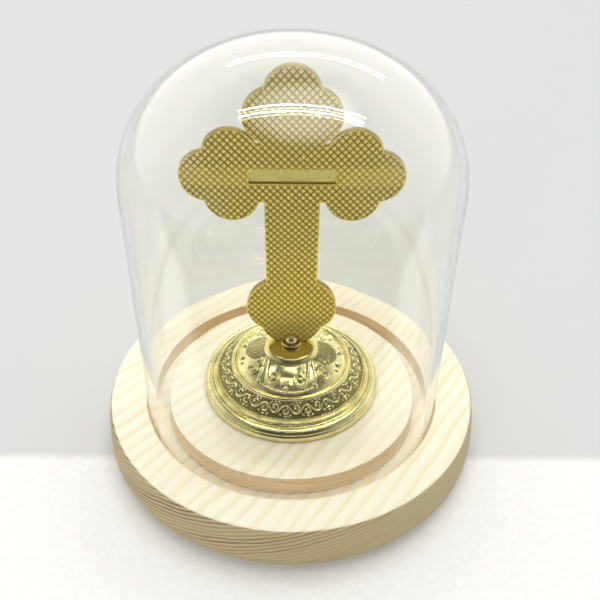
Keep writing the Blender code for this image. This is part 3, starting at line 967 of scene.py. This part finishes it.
def build_plate():
    """The cross: knurled and bordered at the back with its slot, plain at the front."""
    outline = cross_outline()
    y_back, y_front = float(PLATE[0][1]), float(PLATE[1][1])
    count = len(outline)
    rim_out, field = inset(outline, EDGE), inset(outline, RIM)
    verts, faces, relief = [], [], []

    def add_point(x, y, z, high=1.0):
        verts.append((STAND[0] + x, y, STAND[2] + z))
        relief.append(high)
        return len(verts) - 1

    def add_face(side, creases, depth, height, sink, slot, lip):
        """One face of the plate; returns the corners of its outer edge and of its slot."""
        flat, border, ground, first = face_of_plate(rim_out, field, slot, lip, creases)
        y_face = y_back if side < 0 else y_front
        ends, low = {}, {}
        for v in dict.fromkeys(border.ravel().tolist()):
            x, z = flat[v]
            ends[v] = add_point(x, y_face, z)
        for v in dict.fromkeys(ground.ravel().tolist()):
            x, z = flat[v]
            h = float(height(x, z))
            low[v] = add_point(x, y_face - side * (depth - (depth - sink) * h), z, h)
        for triangles, table in ((border, ends), (ground, low)):
            for t in triangles:
                faces.append([table[v] for v in t][::-side])
        directed = {(t[i], t[(i + 1) % 3]) for t in ground for i in range(3)}
        for t in border:
            for i in range(3):
                a, b = t[i], t[(i + 1) % 3]
                if (b, a) in directed:          # the step between border and field
                    faces.append([ends[b], ends[a], low[a], low[b]][::-side])
        rim = [ends[first[i]] for i in range(count)]
        hole = [ends[first[2 * count + i]] for i in range(4)] if slot is not None else []
        return rim, hole

    slot, lip = rectangle(SLOT_X, SLOT_HALF), rectangle(SLOT_X + 0.2, SLOT_HALF + 0.2)
    creases = knurl_lines(field)
    back_rim, hole = add_face(-1, creases, KNURL_DEPTH, knurl_height, 0.04, slot, lip)
    front_rim, _ = add_face(1, [], 0.4, lambda x, z: 0.0, 0.4, None, None)

    floor = [add_point(x, y_back + SLOT_DEPTH, z) for x, z in slot]
    for i in range(4):
        j = (i + 1) % 4
        faces.append([hole[j], floor[j], floor[i], hole[i]])
    faces.append(floor)

    rounding = [(EDGE * (1 - math.sin(a)), EDGE * (1 - math.cos(a)))
                for a in np.radians((22.5, 45.0, 67.5, 90.0))]
    edge = [(away, y_back + deep) for away, deep in rounding]
    edge += [(away, y_front - deep) for away, deep in rounding[::-1]]
    rings = [[add_point(x, y, z) for x, z in inset(outline, away)] for away, y in edge]
    rings = [back_rim] + rings + [front_rim]
    for upper, lower in zip(rings, rings[1:]):
        for i in range(count):
            j = (i + 1) % count
            faces.append([upper[j], upper[i], lower[i], lower[j]])
    obj = add_mesh("cross_knurled", verts, faces, cross_gilt(), "cross_stand", ["cross_plate"], 28)
    set_attribute(obj, "relief", relief)


def build_strip():
    """The plain strip at the bottom of the slot, with a small dimple near one end."""
    (x0, front, z0), (x1, back, z1) = STRIP
    cx, cz, size, sides = x1 - 1.9, (z0 + z1) / 2, 0.55, 12
    ring = np.radians(np.arange(sides) * 360.0 / sides)
    corners = [(x0, z0), (x1, z0), (x1, z1), (x0, z1)]
    points = corners + [(cx + size * math.cos(a), cz + size * math.sin(a)) for a in ring]
    edges = [(i, (i + 1) % 4) for i in range(4)] + [
        (4 + i, 4 + (i + 1) % sides) for i in range(sides)]
    flat, _, triangles, _, _, _ = delaunay_2d_cdt([Vector(p) for p in points], edges, [], 0, 1e-5)
    flat = np.array([tuple(v) for v in flat])
    verts = [(x, front, z) for x, z in flat]
    faces = [list(t) for t in triangles
             if math.dist(flat[list(t)].mean(0), (cx, cz)) > size * 0.95]
    nearest = [min(range(len(flat)), key=lambda v, p=p: math.dist(flat[v], p)) for p in points]
    corner, dimple = nearest[:4], nearest[4:]
    bottom = len(verts)
    verts.append((cx, front + 0.35, cz))
    for i in range(sides):
        faces.append([dimple[i], dimple[(i + 1) % sides], bottom])
    start = len(verts)
    verts += [(x, back, z) for x, z in corners]
    for i in range(4):
        j = (i + 1) % 4
        faces.append([corner[j], corner[i], start + i, start + j])
    faces.append([start + 3, start + 2, start + 1, start])
    gold = gilt("strip_gilt", (0.80, 0.70, 0.24), (0.50, 0.43, 0.12), 0.26)
    add_mesh("slot_plain_strip", verts, faces, gold, "cross_stand", ["slot_strip"], sharp=30)


# ---- stage, light and camera

def build_stage():
    """A pale floor, whiter in front of the object than behind it, with a painted dark reflection
    of its front in mirrors.
    """
    look = Look("floor_paint", Roughness=0.9)
    _, y, _ = look.split(look.point)
    back = look.span(y, -20.0, -15.0, smooth=True)
    speck = look.noise(0.4)
    white = look.mix(look.span(speck, 0.4, 0.6), (0.86, 0.86, 0.86), (0.89, 0.89, 0.885))
    grey = look.mix(look.span(y, -15.0, 500.0), (0.66, 0.665, 0.665), (0.70, 0.705, 0.71))
    # Painted reflection: where a mirror sees the floor in front, it turns nearly black, and grey
    # after passing several times through glass.
    path = look.tree.nodes.new("ShaderNodeLightPath")
    mirrored = look.times(look.math("MINIMUM", path.outputs["Glossy Depth"], 1.0),
                          look.span(y, -60.0, -75.0))
    dim = look.mix(look.span(path.outputs["Transmission Depth"], 2.0, 4.0),
                   (0.04, 0.04, 0.045), (0.60, 0.60, 0.60))
    color = look.mix(back, white, grey)
    mat = look.set(Base_Color=look.mix(mirrored, color, dim))
    size = 2500.0
    verts = [(-size, -size, 0.0), (size, -size, 0.0), (size, size, 0.0), (-size, size, 0.0)]
    floor = add_mesh("floor", verts, [[0, 1, 2, 3]], mat, None)


def build_world():
    """A pale room: a bright wall behind, a dim ceiling and front, a soft glow overhead."""
    world = bpy.data.worlds.new("studio")
    bpy.context.scene.world = world
    world.use_nodes = True
    sky = Nodes(world.node_tree)

    def toward(direction, low, high):
        """0 to 1 as the view turns toward a direction, between two cosines."""
        dot = sky.vector("DOT_PRODUCT", sky.coords["Generated"], Vector(direction).normalized())
        return sky.span(dot, low, high, smooth=True)

    room = sky.mix(toward((0.0, 1.0, 0.0), -0.35, 0.55), (0.42, 0.42, 0.41), (1.12, 1.12, 1.08))
    room = sky.mix(toward((0.0, 0.0, 1.0), 0.55, 0.86), room, (0.18, 0.18, 0.175))
    room = sky.mix(toward((0.0, -1.0, 0.45), 0.60, 0.88), room, (0.07, 0.07, 0.065))
    room = sky.mix(toward((0.06, 0.33, 0.94), 0.90, 0.99), room, (3.0, 3.0, 2.9))
    background = sky.tree.nodes["Background"]
    sky.put(background.inputs["Color"], room)
    background.inputs["Strength"].default_value = 1.12


def panel_light(name, place, size, power, seen):
    """A rectangular light facing the object: seen in reflections only, or only as light."""
    data = bpy.data.lights.new(name, "AREA")
    data.shape = "RECTANGLE"
    data.size, data.size_y = size
    data.energy = power
    obj = bpy.data.objects.new(name, data)
    obj.location = place
    obj.rotation_euler = (-Vector(place)).to_track_quat("-Z", "Y").to_euler()
    obj.visible_diffuse = not seen
    obj.visible_glossy = seen
    obj.visible_transmission = seen
    bpy.context.scene.collection.objects.link(obj)
    return obj


def build_lights():
    """Two tubes and a band that show only in reflections, and two soft fills that never do."""
    for name, y in (("ceiling_tube_near", 0.448), ("ceiling_tube_far", 0.574)):
        tube = panel_light(name, (0.12, y, 1.5), (1.42, 0.034), 7.0, True)
        tube.rotation_euler = (0.0, 0.0, 0.0)
    band = panel_light("wall_band", (0.20, 2.2, 1.22), (1.9, 0.06), 1.4, True)
    band.rotation_euler = (math.radians(-60.0), 0.0, 0.0)
    panel_light("front_fill", (-0.4, -1.6, 0.9), (1.4, 1.2), 12.0, False)
    panel_light("top_fill", (0.0, 0.2, 1.4), (1.2, 1.2), 6.0, False)


def build_camera():
    """The camera that took the photo, as solved from it, looking down at the cross's back."""
    pitch, yaw, roll = (math.radians(a) for a in (44.223, 0.840, 0.917))
    forward = Vector((math.sin(yaw) * math.cos(pitch), math.cos(yaw) * math.cos(pitch),
                      -math.sin(pitch)))
    right = Vector((math.cos(yaw), -math.sin(yaw), 0.0))
    up = right.cross(forward)
    tilted_right = right * math.cos(roll) + up * math.sin(roll)
    tilted_up = up * math.cos(roll) - right * math.sin(roll)
    data = bpy.data.cameras.new("camera")
    data.lens, data.sensor_width = 53.76, 36.0
    data.shift_y = 0.1452
    data.clip_start, data.clip_end = 0.01, 20.0
    obj = bpy.data.objects.new("camera", data)
    place = Matrix((tilted_right, tilted_up, -forward)).transposed().to_4x4()
    place.translation = Vector((-0.33, -228.93, 240.80)) * MM
    obj.matrix_world = place
    bpy.context.scene.collection.objects.link(obj)
    bpy.context.scene.camera = obj


def dress_fixings():
    """Zinc for the washer and the nut, which keep the CAD's shapes."""
    for node, name, tint, rough in (
        ("stem_washer", "washer_zinc", (0.66, 0.66, 0.64), 0.28),
        ("stem_nut", "nut_zinc", (0.62, 0.62, 0.60), 0.24),
    ):
        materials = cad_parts[node].data.materials
        materials.clear()
        materials.append(steel(name, tint, rough))


build_base()
build_dome()
build_foot()
build_pearls()
build_turned_parts()
build_plate()
build_strip()
dress_fixings()
build_stage()
build_world()
build_lights()
build_camera()
bpy.context.scene.view_settings.view_transform = "Standard"
